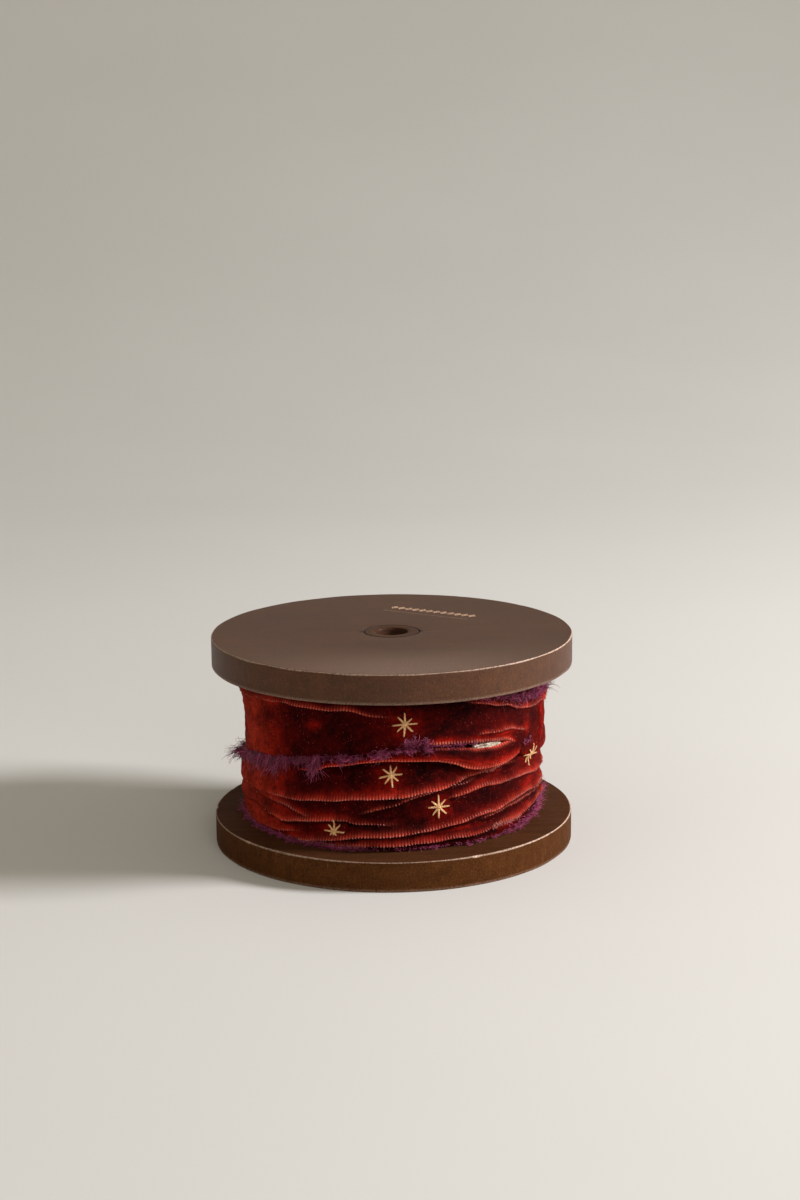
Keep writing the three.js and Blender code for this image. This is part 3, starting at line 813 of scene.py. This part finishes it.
# ---------------------------------------------------------------- the tail
def add_tail():
    """The ribbon's free end, rolled up lengthways and tucked into the groove."""
    first, last = [round(a * COLUMNS / 360) for a in (TAIL_START - 4, TAIL_END)]
    angle = np.arange(first, last + 1) * 360 / COLUMNS
    turns, steps = 1.75, 84
    share = np.linspace(0, 1, steps)
    round_by = 2 * np.pi * turns * share
    way = math.radians(150) - round_by  # starts behind, goes over the top, down the face
    outside = 1 - 0.42 * round_by / (2 * np.pi)
    inside = outside - 0.30
    nose = np.sqrt(np.clip(1 - (np.clip(angle - (TAIL_END - 4), 0, 4) / 4) ** 2, 0.02, 1))
    low, high = tail_low(angle), tail_high(angle)
    mid_z, half_z = (low + high) / 2, (high - low) / 2 * nose
    front = 43.5 - 0.9 * (1 - smoothstep(angle, -12, 22))
    back = GROOVE_R + 0.35
    mid_r, half_r = (front + back) / 2, (front - back) / 2 * (0.3 + 0.7 * nose)
    a, half_r_c, half_z_c = angle[:, None], half_r[:, None], half_z[:, None]

    def loop(scale):
        bulge = 1 - 0.16 * np.sin(way) * (np.cos(way) > 0)
        r = mid_r[:, None] + half_r_c * scale * np.cos(way) * bulge
        z = mid_z[:, None] + half_z_c * scale * np.sin(way)
        return r, z

    (r1, z1), (r2, z2) = loop(outside), loop(inside)
    degrees = np.degrees(way)[None] + 0 * a
    on_face = (share <= 0.5)[None] * nose[:, None]
    # painted highlight and sheen on the roll's hem and lip
    hem = np.exp(-((degrees + 62) / 26) ** 2)
    lip = np.exp(-((degrees - 78) / 16) ** 2) * smoothstep(a, 12, 20)
    crest = on_face * np.clip(hem + 0.6 * lip, 0, 1)
    painted_light = 0.8 * on_face * np.clip(np.exp(-((degrees + 40) / 40) ** 2) + lip, 0, 1)
    s = half_z_c * np.radians(degrees)
    r1 = r1 + cloth_relief(a, 3 * s, crest) * on_face
    sag = 0.12 * short_wrinkles(a, 2 * s) * on_face
    r = np.concatenate([r1 + sag, r2[:, ::-1]], axis=1)
    z = np.concatenate([z1, z2[:, ::-1]], axis=1)
    pile = {
        "crest": np.concatenate([crest, 0 * crest], axis=1),
        "painted_light": np.concatenate([painted_light, 0 * painted_light], axis=1),
        "left_sheen": np.zeros(r.shape),
    }
    u = np.broadcast_to((a + 180) / 360 * ROWS_ROUND, r.shape)
    v = np.concatenate([s, s[:, ::-1]], axis=1)
    uv = np.stack([u, v], -1).reshape(-1, 2)
    points = on_drum(a, r, z).reshape(-1, 3)
    columns, rows = r.shape
    faces = grid_faces(columns, rows, False, True)[:, ::-1].tolist()
    for start, flip in ((0, -1), ((columns - 1) * rows, 1)):
        for i in range(steps - 1):
            quad = [start + i, start + i + 1, start + rows - 2 - i, start + rows - 1 - i]
            faces.append(quad[::flip])
    obj = add_piece("ribbon_tail_roll", points, faces, VELVET, pile, uv)
    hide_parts("ribbon_tail")
    finish_piece(obj, None)
    height = float(tail_low(np.array(-20.0)))  # where the bend is
    start, end = [on_drum(a, 42.0, height) * MM for a in (TAIL_START + 3, TAIL_START + 24)]
    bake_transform(obj)
    return obj


# ---------------------------------------------------------------- the winding's skin
def skin_map():
    """The winding's outer radius on a grid of angles and heights, for what lies on it."""
    angles = np.arange(-180, 180, SKIN_ANGLE)
    heights = np.arange(GAP_LOW, GAP_HIGH, SKIN_HEIGHT)
    grid = np.zeros((len(angles), len(heights)))
    share = np.linspace(0, 1, 600)[None]
    column = np.arange(len(angles))[:, None]
    edge = UPPER_EDGE(angles)[:, None]
    faces = ((lower_face, GAP_LOW + 0 * edge, edge + 1), (upper_face, edge, GAP_HIGH + 0 * edge))
    for face, low, high in faces:
        s = low + (high - low) * share
        r, z, _, _ = face(np.broadcast_to(angles[:, None], s.shape), s)
        k = np.clip(((z - heights[0]) / SKIN_HEIGHT).astype(int), 0, len(heights) - 1)
        np.maximum.at(grid, (np.broadcast_to(column, k.shape), k), r)
    in_tail = (angles > TAIL_START) & (angles < TAIL_END - 2)
    low, high = tail_low(angles)[:, None], tail_high(angles)[:, None]
    covered = in_tail[:, None] & (heights > low) & (heights < high)
    grid[covered] = np.maximum(grid, TAIL_R)[covered]
    for row in grid:
        known = row > 1
        row[~known] = np.interp(heights[~known], heights[known], row[known])
    return angles, heights, grid


SKIN = skin_map()


def skin(angle, z):
    """The winding's outer radius at any place, from the map."""
    angles, heights, grid = SKIN
    x = ((angle + 180) % 360) / SKIN_ANGLE
    y = np.clip((z - heights[0]) / SKIN_HEIGHT, 0, len(heights) - 1.001)
    i, j = x.astype(int) % len(angles), y.astype(int)
    i2, j2 = (i + 1) % len(angles), j + 1
    fx, fy = x - np.floor(x), y - j
    near = grid[i, j] * (1 - fy) + grid[i, j2] * fy
    far = grid[i2, j] * (1 - fy) + grid[i2, j2] * fy
    return near * (1 - fx) + far * fx


# ---------------------------------------------------------------- frayed edges
def strands(count, angles, height, aim, length, curl, droop, jitter=0.5, clumps=0.0):
    """Paths of loose threads rooted on the winding between two angles, at height(angle). aim is
    (sideways, out, up), and clumps is how far neighbours lean together."""
    seed = int(rng.integers(1000))
    angle = rng.uniform(*angles, count)
    angle = angle + 0.9 * waves(10, 90, 0, seed + 1)(angle, 0)  # gathers them in tufts
    full = np.clip(0.85 + 0.4 * waves(8, 70, 0, seed + 2)(angle, 0), 0.35, 1.5)
    z = height(angle) + rng.normal(0, jitter, count)
    r = skin(angle, z) + 0.15
    lean_and_sheen = waves(12, 130, 0, seed)(angle, 0)[:, None] * np.array([1.0, 0.35, 0.3])
    way = np.array(aim) + rng.normal(0, 1, (count, 3)) * np.array([0.5, 0.3, 0.3]) + clumps * lean_and_sheen
    bend = rng.normal(0, 1, (count, 3)) * curl
    size = rng.uniform(*length, count) * rng.choice([0.6, 1, 1.25], count) * full
    path = np.empty((count, FRAY_STEPS, 3))
    for k in range(FRAY_STEPS):
        path[:, k] = on_drum(angle, r, z)
        move = unit(way) * (size / (FRAY_STEPS - 1))[:, None]
        angle = angle + np.degrees(move[:, 0] / r)
        z = np.clip(z + move[:, 2], FLANGE_T + 0.15, SPOOL_H - FLANGE_T - 0.15)
        r = np.maximum(r + move[:, 1], skin(angle, z) + 0.12)
        way = unit(way) + bend / FRAY_STEPS + np.array([0, 0, -droop / FRAY_STEPS])
        bend = bend + rng.normal(0, curl * 0.6, (count, 3))
    return path


def add_fray(name, node, groups, painted_lit_share=0.0):
    """A piece of loose threads. Its last argument is how many more of them than usual are painted
    light, for threads that lie in shade.
    """
    path = np.concatenate(groups)
    count, steps, _ = path.shape
    taper = np.linspace(1, 0.45, steps)[None] * rng.uniform(0.7, 1.25, (count, 1)) * FRAY_THREAD_R
    points, faces = strand_mesh(path, taper)
    bright = rng.random(count) < 0.32 + painted_lit_share
    light = rng.uniform(0.4, 1.0, count) ** 1.6
    dark = 0.36 * rng.beta(1.2, 2.4, count)
    shade = np.repeat(np.where(bright, light, dark), steps * THREAD_SIDES)
    obj = add_piece(name, points, faces, FRAY, {"shade": shade})
    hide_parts(node)
    return finish_piece(obj, "spool")


def add_frays():
    edge = UPPER_EDGE
    middle = [
        strands(900, (-92, -50), lambda a: edge(a) + 0.1, (-0.1, 0.3, -1.0), (1.2, 3.2),
                curl=0.8, droop=0.5, jitter=0.35, clumps=0.8),
        strands(900, (-64, -27), lambda a: edge(a) - 0.2, (0.15, 0.4, -1.2), (2.6, 5.4),
                curl=0.8, droop=0.6, jitter=0.4, clumps=0.9),
        strands(220, (-98, -76), lambda a: edge(a) - 0.8, (-0.3, 1.7, -0.5), (2.4, 5.2),
                curl=0.8, droop=0.4, clumps=1.0),
        strands(700, (-30, 13), lambda a: edge(a) - 0.1, (0.6, 0.3, -0.2), (1.0, 2.6),
                curl=1.6, droop=0.2, jitter=0.35, clumps=0.8),
        strands(180, (3, 13), lambda a: edge(a) + 1.0, (0.4, 0.3, 0.9), (1.0, 2.8),
                curl=1.6, droop=0.0, clumps=0.9),
        strands(120, (12, 30), lambda a: edge(a) + 0.1, (0.9, 0.2, -0.1), (0.8, 1.8),
                curl=1.8, droop=0.1, jitter=0.3),
        strands(80, (55, 62), lambda a: 33.0 + 0 * a, (-0.3, 0.5, 0.5), (0.8, 2.0),
                curl=1.6, droop=0.1, jitter=0.5),
    ]
    low = lambda a: GAP_LOW + 0.5 + 0 * a
    right = lambda a: GAP_LOW + 0.8 + 3.2 * smoothstep(a, 55, 80)
    bottom = [
        strands(2600, (-180, 180), low, (0, 0.9, -0.5), (0.6, 1.7),
                curl=1.8, droop=0.6, jitter=0.3, clumps=0.8),
        strands(800, (-95, -10), low, (0, 1.2, -0.1), (1.2, 3.0),
                curl=1.6, droop=0.5, jitter=0.4, clumps=1.0),
        strands(70, (-21, -13), lambda a: 8.8 + 0 * a, (0.6, 0.5, 0.3), (1.0, 2.2),
                curl=1.6, droop=0.2, jitter=0.5, clumps=1.0),
        strands(520, (46, 95), right, (0.2, 0.8, 0.1), (1.0, 2.6),
                curl=2.2, droop=0.4, jitter=0.9, clumps=1.0),
    ]
    ruff = through([
        (22, 49), (31, 48.6), (40, 46.8), (46, 46.2), (52, 44.8), (59, 43.8), (73, 43.8), (95, 44.5),
    ])
    top = [
        strands(820, (33, 92), lambda a: ruff(a) + 0.9, (0.5, 0.5, 0.9), (1.2, 3.6),
                curl=1.6, droop=0.0, clumps=1.0),
        strands(300, (60, 100), lambda a: ruff(a) + 1.7, (0.6, 1.2, 0.6), (1.6, 4.0),
                curl=1.3, droop=0.1, clumps=1.0),
    ]
    return [
        add_fray("frayed_threads_middle", "frayed_edge_middle", middle),
        # the bottom threads lie in shade, so more of them are painted light
        add_fray("frayed_threads_bottom", "frayed_edge_bottom", bottom, 0.25),
        add_fray("frayed_threads_top", "frayed_edge_top", top),
    ]


# ---------------------------------------------------------------- tufts of pile
def bead_paths(face, angle, s, above, below, fibres=2):
    """Beads of opened pile lying over a crest, one for each row, from above its line to below."""
    angle, s = np.repeat(angle, fibres), np.repeat(s, fibres)
    count = len(angle)
    angle = angle + rng.normal(0, 0.09, count)
    top = rng.uniform(0.5, 1.2, count) * above
    low = rng.uniform(0.3, 1.2, count) * below
    t = np.linspace(0, 1, TUFT_STEPS)[None]
    place = s[:, None] + top[:, None] - (top + low)[:, None] * t
    slant = angle[:, None] + (t - 0.5) * rng.normal(0.35, 0.2, (count, 1))
    r, z, _, _ = face(slant, place)
    proud = rng.uniform(0.02, 0.10, (count, 1)) + 0.12 * t * t
    return on_drum(slant, r + proud, z)


def stray_tufts(count, angles, heights, length):
    """Single tufts of pile, whose painted highlight tuft_piece adds."""
    angle, z = rng.uniform(*angles, count), rng.uniform(*heights, count)
    way = unit(rng.normal(0, 0.35, (count, 3)) + np.array([0, 0.5, -0.7]))
    way = way * rng.uniform(*length, (count, 1))
    t = np.linspace(-0.2, 1, TUFT_STEPS)[None]
    across, out, up = [way[:, k:k + 1] * t for k in range(3)]
    angles_along = angle[:, None] + np.degrees(across / 42)
    return on_drum(angles_along, skin(angle, z)[:, None] + out, z[:, None] + up)


def tuft_piece(name, paths, radius, highlight_strength):
    path = np.concatenate(paths)
    count = len(path)
    taper = np.array([0.5, 0.9, 1.0, 1.0, 0.6]) * radius * rng.uniform(0.7, 1.15, (count, 1))
    points, faces = strand_mesh(path, taper)
    # the tufts are painted lighter towards their tips: a painted highlight
    tip_highlight = np.array([0.1, 0.35, 0.7, 1.0, 1.0])[None]
    bright = highlight_strength * rng.beta(1.5, 1.5, count)[:, None] * tip_highlight
    return add_piece(name, points, faces, PILE_AND_HIGHLIGHT, {"shade": np.repeat(bright, THREAD_SIDES, 1)})


def crest_beads(folds, face):
    """Beads along every crest."""
    paths = []
    for f in folds:
        first, last = f["rows"][0][0], f["rows"][-1][0]
        angle = np.arange(math.ceil(first / 360 * ROWS_ROUND), last / 360 * ROWS_ROUND)
        angle = angle * 360 / ROWS_ROUND
        size = through(f["rows"], 2)(angle)
        often = (0.35 + 0.6 * np.clip(size, 0, 1)) * (1 - 0.85 * broad_sheen_side(angle))
        shown = (size > 0.15) & (rng.random(len(angle)) < often)
        angle, size = angle[shown], size[shown]
        lift = CREASE_SWAY * crease_noise(angle, 3 * f["up"]) + f["hook"] * np.minimum(size, 1)
        paths.append(bead_paths(face, angle, through(f["rows"], 1)(angle) + lift, 0.30, 0.10))
    return paths


def add_beads():
    """Tufts on every crest and on the hem over the tail, in the glints, and strewn all round."""
    hem_angle = np.arange(12, 42) * 360 / ROWS_ROUND
    paths = crest_beads(LOWER_FOLDS, lower_face) + crest_beads(UPPER_FOLDS, upper_face)
    paths.append(bead_paths(upper_face, hem_angle, UPPER_EDGE(hem_angle) + 0.8, 0.5, 0.4, 4))
    for angles, heights, count in GLINTS:
        paths.append(stray_tufts(count, angles, heights, (0.3, 0.6)))
    specks = [stray_tufts(1500, (-180, 180), (10, 48), (0.10, 0.30))]
    pieces = [
        tuft_piece("velvet_pile_beads", paths, 0.068, 1.0),
        tuft_piece("velvet_pile_specks", specks, 0.05, 0.5),
    ]
    return [finish_piece(piece, "spool") for piece in pieces]


# ---------------------------------------------------------------- embroidered stars
# Stars that a fold or the tail covers in part: the lowest and highest place that shows.
COVERED_STARS = {"star_05": (-9, 2.5), "star_07": (-1.0, 9)}
RAYS = 8
LONG_RAY, SHORT_RAY = 3.4, 2.85
SLIT_HEIGHT, SLIT_R = 35.1, 41.7  # the slit above the tail


def add_star(node):
    """An eight-rayed star: each ray is three long threads with short satin stitches slanting over
    them, and a knot of stitches holds the middle."""
    angle0, height0 = place_of(node)
    lowest, highest = COVERED_STARS.get(node, (-9, 9))
    tilt = rng.uniform(-0.14, 0.14)
    paths, radii = [], []
    for ray in range(RAYS):
        way = 2 * math.pi / RAYS * ray + tilt + rng.normal(0, 0.06)
        reach = (LONG_RAY if ray % 2 == 0 else SHORT_RAY) * rng.uniform(0.86, 1.06)
        rise = math.sin(way)
        reach = min(reach, (highest if rise > 0 else -lowest) / max(abs(rise), 0.05))
        for lane in (-0.13, 0, 0.13):
            t = np.linspace(-0.08, rng.uniform(0.84, 1.0), STITCH_STEPS)
            lift = 0.20 + 0.10 * np.sin(np.pi * t)
            paths.append(stitch(angle0, height0, way, reach * t, lane * (1.1 - 0.6 * t), lift))
            radii.append(np.full(STITCH_STEPS, 0.06))
        for along in np.arange(0.10, reach - 0.15, 0.21):
            wide = (0.34 - 0.17 * along / reach) * rng.uniform(0.75, 1.25)
            t = np.linspace(-1, 1, STITCH_STEPS)
            slant = along + 0.20 * t + rng.normal(0, 0.03)
            lift = 0.16 + 0.20 * np.sqrt(1 - 0.9 * t * t)
            paths.append(stitch(angle0, height0, way, slant, wide * t, lift))
            radii.append(np.full(STITCH_STEPS, 0.062) * rng.uniform(0.8, 1.2))
    for _ in range(RAYS):
        t = np.linspace(-1, 1, STITCH_STEPS)
        lift = 0.30 + 0.25 * np.cos(t * math.pi / 2)
        paths.append(stitch(angle0, height0, rng.uniform(0, math.pi), 0.55 * t, 0 * t, lift))
        radii.append(np.full(STITCH_STEPS, 0.075))
    points, faces = strand_mesh(np.array(paths), np.array(radii), STITCH_SIDES)
    shade = np.repeat(rng.uniform(0.15, 1.0, len(paths)), STITCH_STEPS * STITCH_SIDES)
    obj = add_piece(f"embroidered_{node}", points, faces, GOLD, {"shade": shade})
    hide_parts(node)
    return finish_piece(obj, "spool")


def stitch(angle, z, way, along, aside, lift):
    """Points of one stitch, along and beside the direction way from a place on the winding's skin,
    lifted off it."""
    x = along * math.cos(way) - aside * math.sin(way)
    height = z + along * math.sin(way) + aside * math.cos(way)
    a = angle + np.degrees(x / UPPER_R)
    nearby = [skin(a + da, height + dz) for da in (-0.7, 0, 0.7) for dz in (-0.5, 0, 0.5)]
    return on_drum(a, np.mean(nearby, axis=0) + lift, height)


def add_backing():
    """White bobbin threads on the wrong side of a star, in the slit above the tail."""
    angle0, _ = place_of("star_backing")
    count, steps = 90, 6
    a = angle0 + rng.uniform(-5.6, 5.6, count)
    z = SLIT_HEIGHT + rng.uniform(-0.7, 0.5, count)
    way = rng.uniform(-0.5, 0.5, count) + rng.choice([0, 1.2], count)
    t = np.linspace(-0.5, 0.5, steps)[None] * rng.uniform(1.2, 2.6, (count, 1))
    angle = a[:, None] + np.degrees(t * np.cos(way)[:, None] / UPPER_R)
    height = z[:, None] + t * np.sin(way)[:, None] * 0.5
    r = SLIT_R + rng.uniform(-0.3, 0.3, (count, 1)) + 0 * angle
    radii = np.full((count, steps), 0.09)
    points, faces = strand_mesh(on_drum(angle, r, height), radii, STITCH_SIDES)
    shade = np.repeat(rng.uniform(0.3, 1.0, count), steps * STITCH_SIDES)
    obj = add_piece("backing_threads", points, faces, BACKING, {"shade": shade})
    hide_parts("star_backing")
    return finish_piece(obj, "spool")


# ---------------------------------------------------------------- hidden inside
def add_inner_turns():
    """The rest of the ribbon, wound in a spiral on the hub."""
    pitch, thick = 1.6, 1.15
    turns = (CORE_R - 0.2 - thick / 2 - INNER_R) / pitch
    steps = int(turns * 90)
    angle = np.linspace(0, turns * 360, steps)[:, None]
    r = INNER_R + 0.1 + thick / 2 + pitch * angle / 360
    slack = 0.35 * waves(6, 9, 0.1, 51)(angle * 1.03, 0)
    low, high = GAP_LOW + 0.6 + slack, GAP_HIGH - 0.6 - slack
    half, edge = thick / 2, 0.3
    back, face = r - half, r + half
    rows_r = [back, back + edge, face - edge, face, face, face - edge, back + edge, back]
    rows_z = [low + edge, low, low, low + edge, high - edge, high, high, high - edge]
    points = on_drum(angle, np.concatenate(rows_r, 1), np.concatenate(rows_z, 1)).reshape(-1, 3)
    corners = len(rows_r)
    faces = grid_faces(steps, corners, False, True).tolist()
    count = corners * steps
    faces += [list(range(corners)), list(range(count - 1, count - 1 - corners, -1))]
    flat_pile = {key: np.zeros(len(points)) for key in ("crest", "painted_light", "left_sheen")}
    obj = add_piece("ribbon_inner_spiral", points, faces, VELVET, flat_pile, np.zeros((len(points), 2)))
    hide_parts("ribbon_inner_turns")
    return finish_piece(obj, "spool")


# ---------------------------------------------------------------- foil ornament
def prism(outline, low, high, hole=None):
    """Points and faces of a flat outline given a thickness. hole, if any, has as many points."""
    n = len(outline)
    loops = [outline, hole] if hole else [outline]
    points = [(x, y, z) for loop in loops for z in (low, high) for x, y in loop]
    walls = [[i, (i + 1) % n, n + (i + 1) % n, n + i] for i in range(n)]
    if not hole:
        return points, walls + [list(range(n))[::-1], list(range(n, 2 * n))]
    inner = [[2 * n + k for k in wall[::-1]] for wall in walls]
    lids = []
    for i in range(n):
        j = (i + 1) % n
        lids += [[n + i, n + j, 3 * n + j, 3 * n + i], [j, i, 2 * n + i, 2 * n + j]]
    return points, walls + inner + lids


def add_foil():
    """A border of open lozenges and dots over a dotted line, stamped in gold foil on the top."""
    centre, slope = np.array([11.9, 24.8]), math.radians(-29.7)
    cell, cells = 2.3, 12
    ring = [(math.cos(t), math.sin(t)) for t in np.linspace(0, 2 * np.pi, 8, endpoint=False)]
    shapes = []
    for i in range(cells):
        x = (i - (cells - 1) / 2) * cell
        sizes = ((0.98, 1.75), (0.52, 0.95))
        outer, inner = [[(x + w, 0), (x, h), (x - w, 0), (x, -h)] for w, h in sizes]
        shapes.append((outer, inner))
        shapes.append(([(x + 0.24 * a, 0.42 * b) for a, b in ring], None))
        shapes.append(([(x + cell / 2 + 0.22 * a, 0.22 * b) for a, b in ring], None))
    for i in range(4 * cells):
        x = (i - (4 * cells - 1) / 2) * cell / 4
        shapes.append(([(x + 0.15 * a, 0.13 * b - 4.6) for a, b in ring], None))
    turn = np.array([[math.cos(slope), math.sin(slope)], [-math.sin(slope), math.cos(slope)]])
    points, faces = [], []
    for outline, hole in shapes:
        outline = (np.array(outline) @ turn + centre).tolist()
        hole = (np.array(hole) @ turn + centre).tolist() if hole else None
        made, sides = prism(outline, SPOOL_H - 0.02, SPOOL_H + 0.03, hole)
        faces += [[len(points) + k for k in side] for side in sides]
        points += made
    obj = add_piece("foil_ornament", points, faces, FOIL, smooth=False)
    return finish_piece(obj, "spool")


# ---------------------------------------------------------------- studio
def add_camera():
    """Looks down at the front of the spool from a little above, hardly tilted. In metres."""
    pitch, roll = math.radians(12.07), math.radians(-0.58)
    distance, right_by, up_by = 0.6165, 0.00204, 0.03661
    forward = Vector((0, math.cos(pitch), -math.sin(pitch)))
    flat_right, flat_up = Vector((1, 0, 0)), Vector((0, math.sin(pitch), math.cos(pitch)))
    right = flat_right * math.cos(roll) + flat_up * math.sin(roll)
    up = flat_up * math.cos(roll) - flat_right * math.sin(roll)
    place = Vector((0, 0, 0.030)) + right * right_by + up * up_by - forward * distance
    camera = bpy.data.objects.new("camera", bpy.data.cameras.new("camera"))
    camera.data.lens, camera.data.sensor_width = 66, 36
    camera.data.clip_start, camera.data.clip_end = 0.01, 20
    rotation = Matrix((right, up, -forward)).transposed().to_4x4()
    camera.matrix_world = Matrix.Translation(place) @ rotation
    bpy.context.scene.collection.objects.link(camera)
    bpy.context.scene.camera = camera


def add_area_light(name, place, aim, size, power, colour):
    light = bpy.data.lights.new(name, "AREA")
    light.shape, light.size, light.size_y = "RECTANGLE", size[0], size[1]
    light.energy, light.color = power, colour
    obj = bpy.data.objects.new(name, light)
    obj.location = place
    obj.rotation_euler = (Vector(aim) - Vector(place)).to_track_quat("-Z", "Y").to_euler()
    bpy.context.scene.collection.objects.link(obj)


def add_studio():
    """A pale seamless sweep, a key light at the right, a soft front light and a dim pale surround.
    In metres."""
    flat, radius, height = 0.55, 1.6, 3.2
    line = [(-2.5, 0.0)]
    for t in np.linspace(0, math.pi / 2, 24):
        line.append((flat + radius * math.sin(t), radius * (1 - math.cos(t))))
    line.append((flat + radius, height))
    points = [(x / MM, y / MM, z / MM) for y, z in line for x in (-4.0, 4.0)]
    faces = [[2 * i, 2 * i + 1, 2 * i + 3, 2 * i + 2] for i in range(len(line) - 1)]
    paper = plain_material("studio_paper", (0.685, 0.672, 0.635), (0.705, 0.692, 0.655), 4, 0.9)
    add_piece("studio_sweep", points, faces, paper)
    world = bpy.data.worlds.new("studio")
    world.use_nodes = True
    background = world.node_tree.nodes["Background"]
    background.inputs["Color"].default_value = (1.0, 0.93, 0.78, 1)
    background.inputs["Strength"].default_value = 0.36
    bpy.context.scene.world = world
    add_area_light("front", (0.35, -1.25, 0.55), (0, 0, 0.03), (0.60, 0.40), 3.0, (1.0, 0.98, 0.96))
    add_area_light("key", (1.20, -0.12, 0.67), (0, 0, 0.02), (0.30, 0.30), 25, (0.98, 0.965, 1.0))
    bpy.context.scene.view_settings.view_transform = "Standard"


# ---------------------------------------------------------------- the scene
add_camera()
add_studio()
tail = add_tail()
frays = add_frays()
beads = add_beads()
stars = [add_star(node) for node in STAR_NODES]
backing = add_backing()
inner_turns = add_inner_turns()
add_foil()
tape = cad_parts["end_tape"]
tape.material_slots[0].material = TAPE
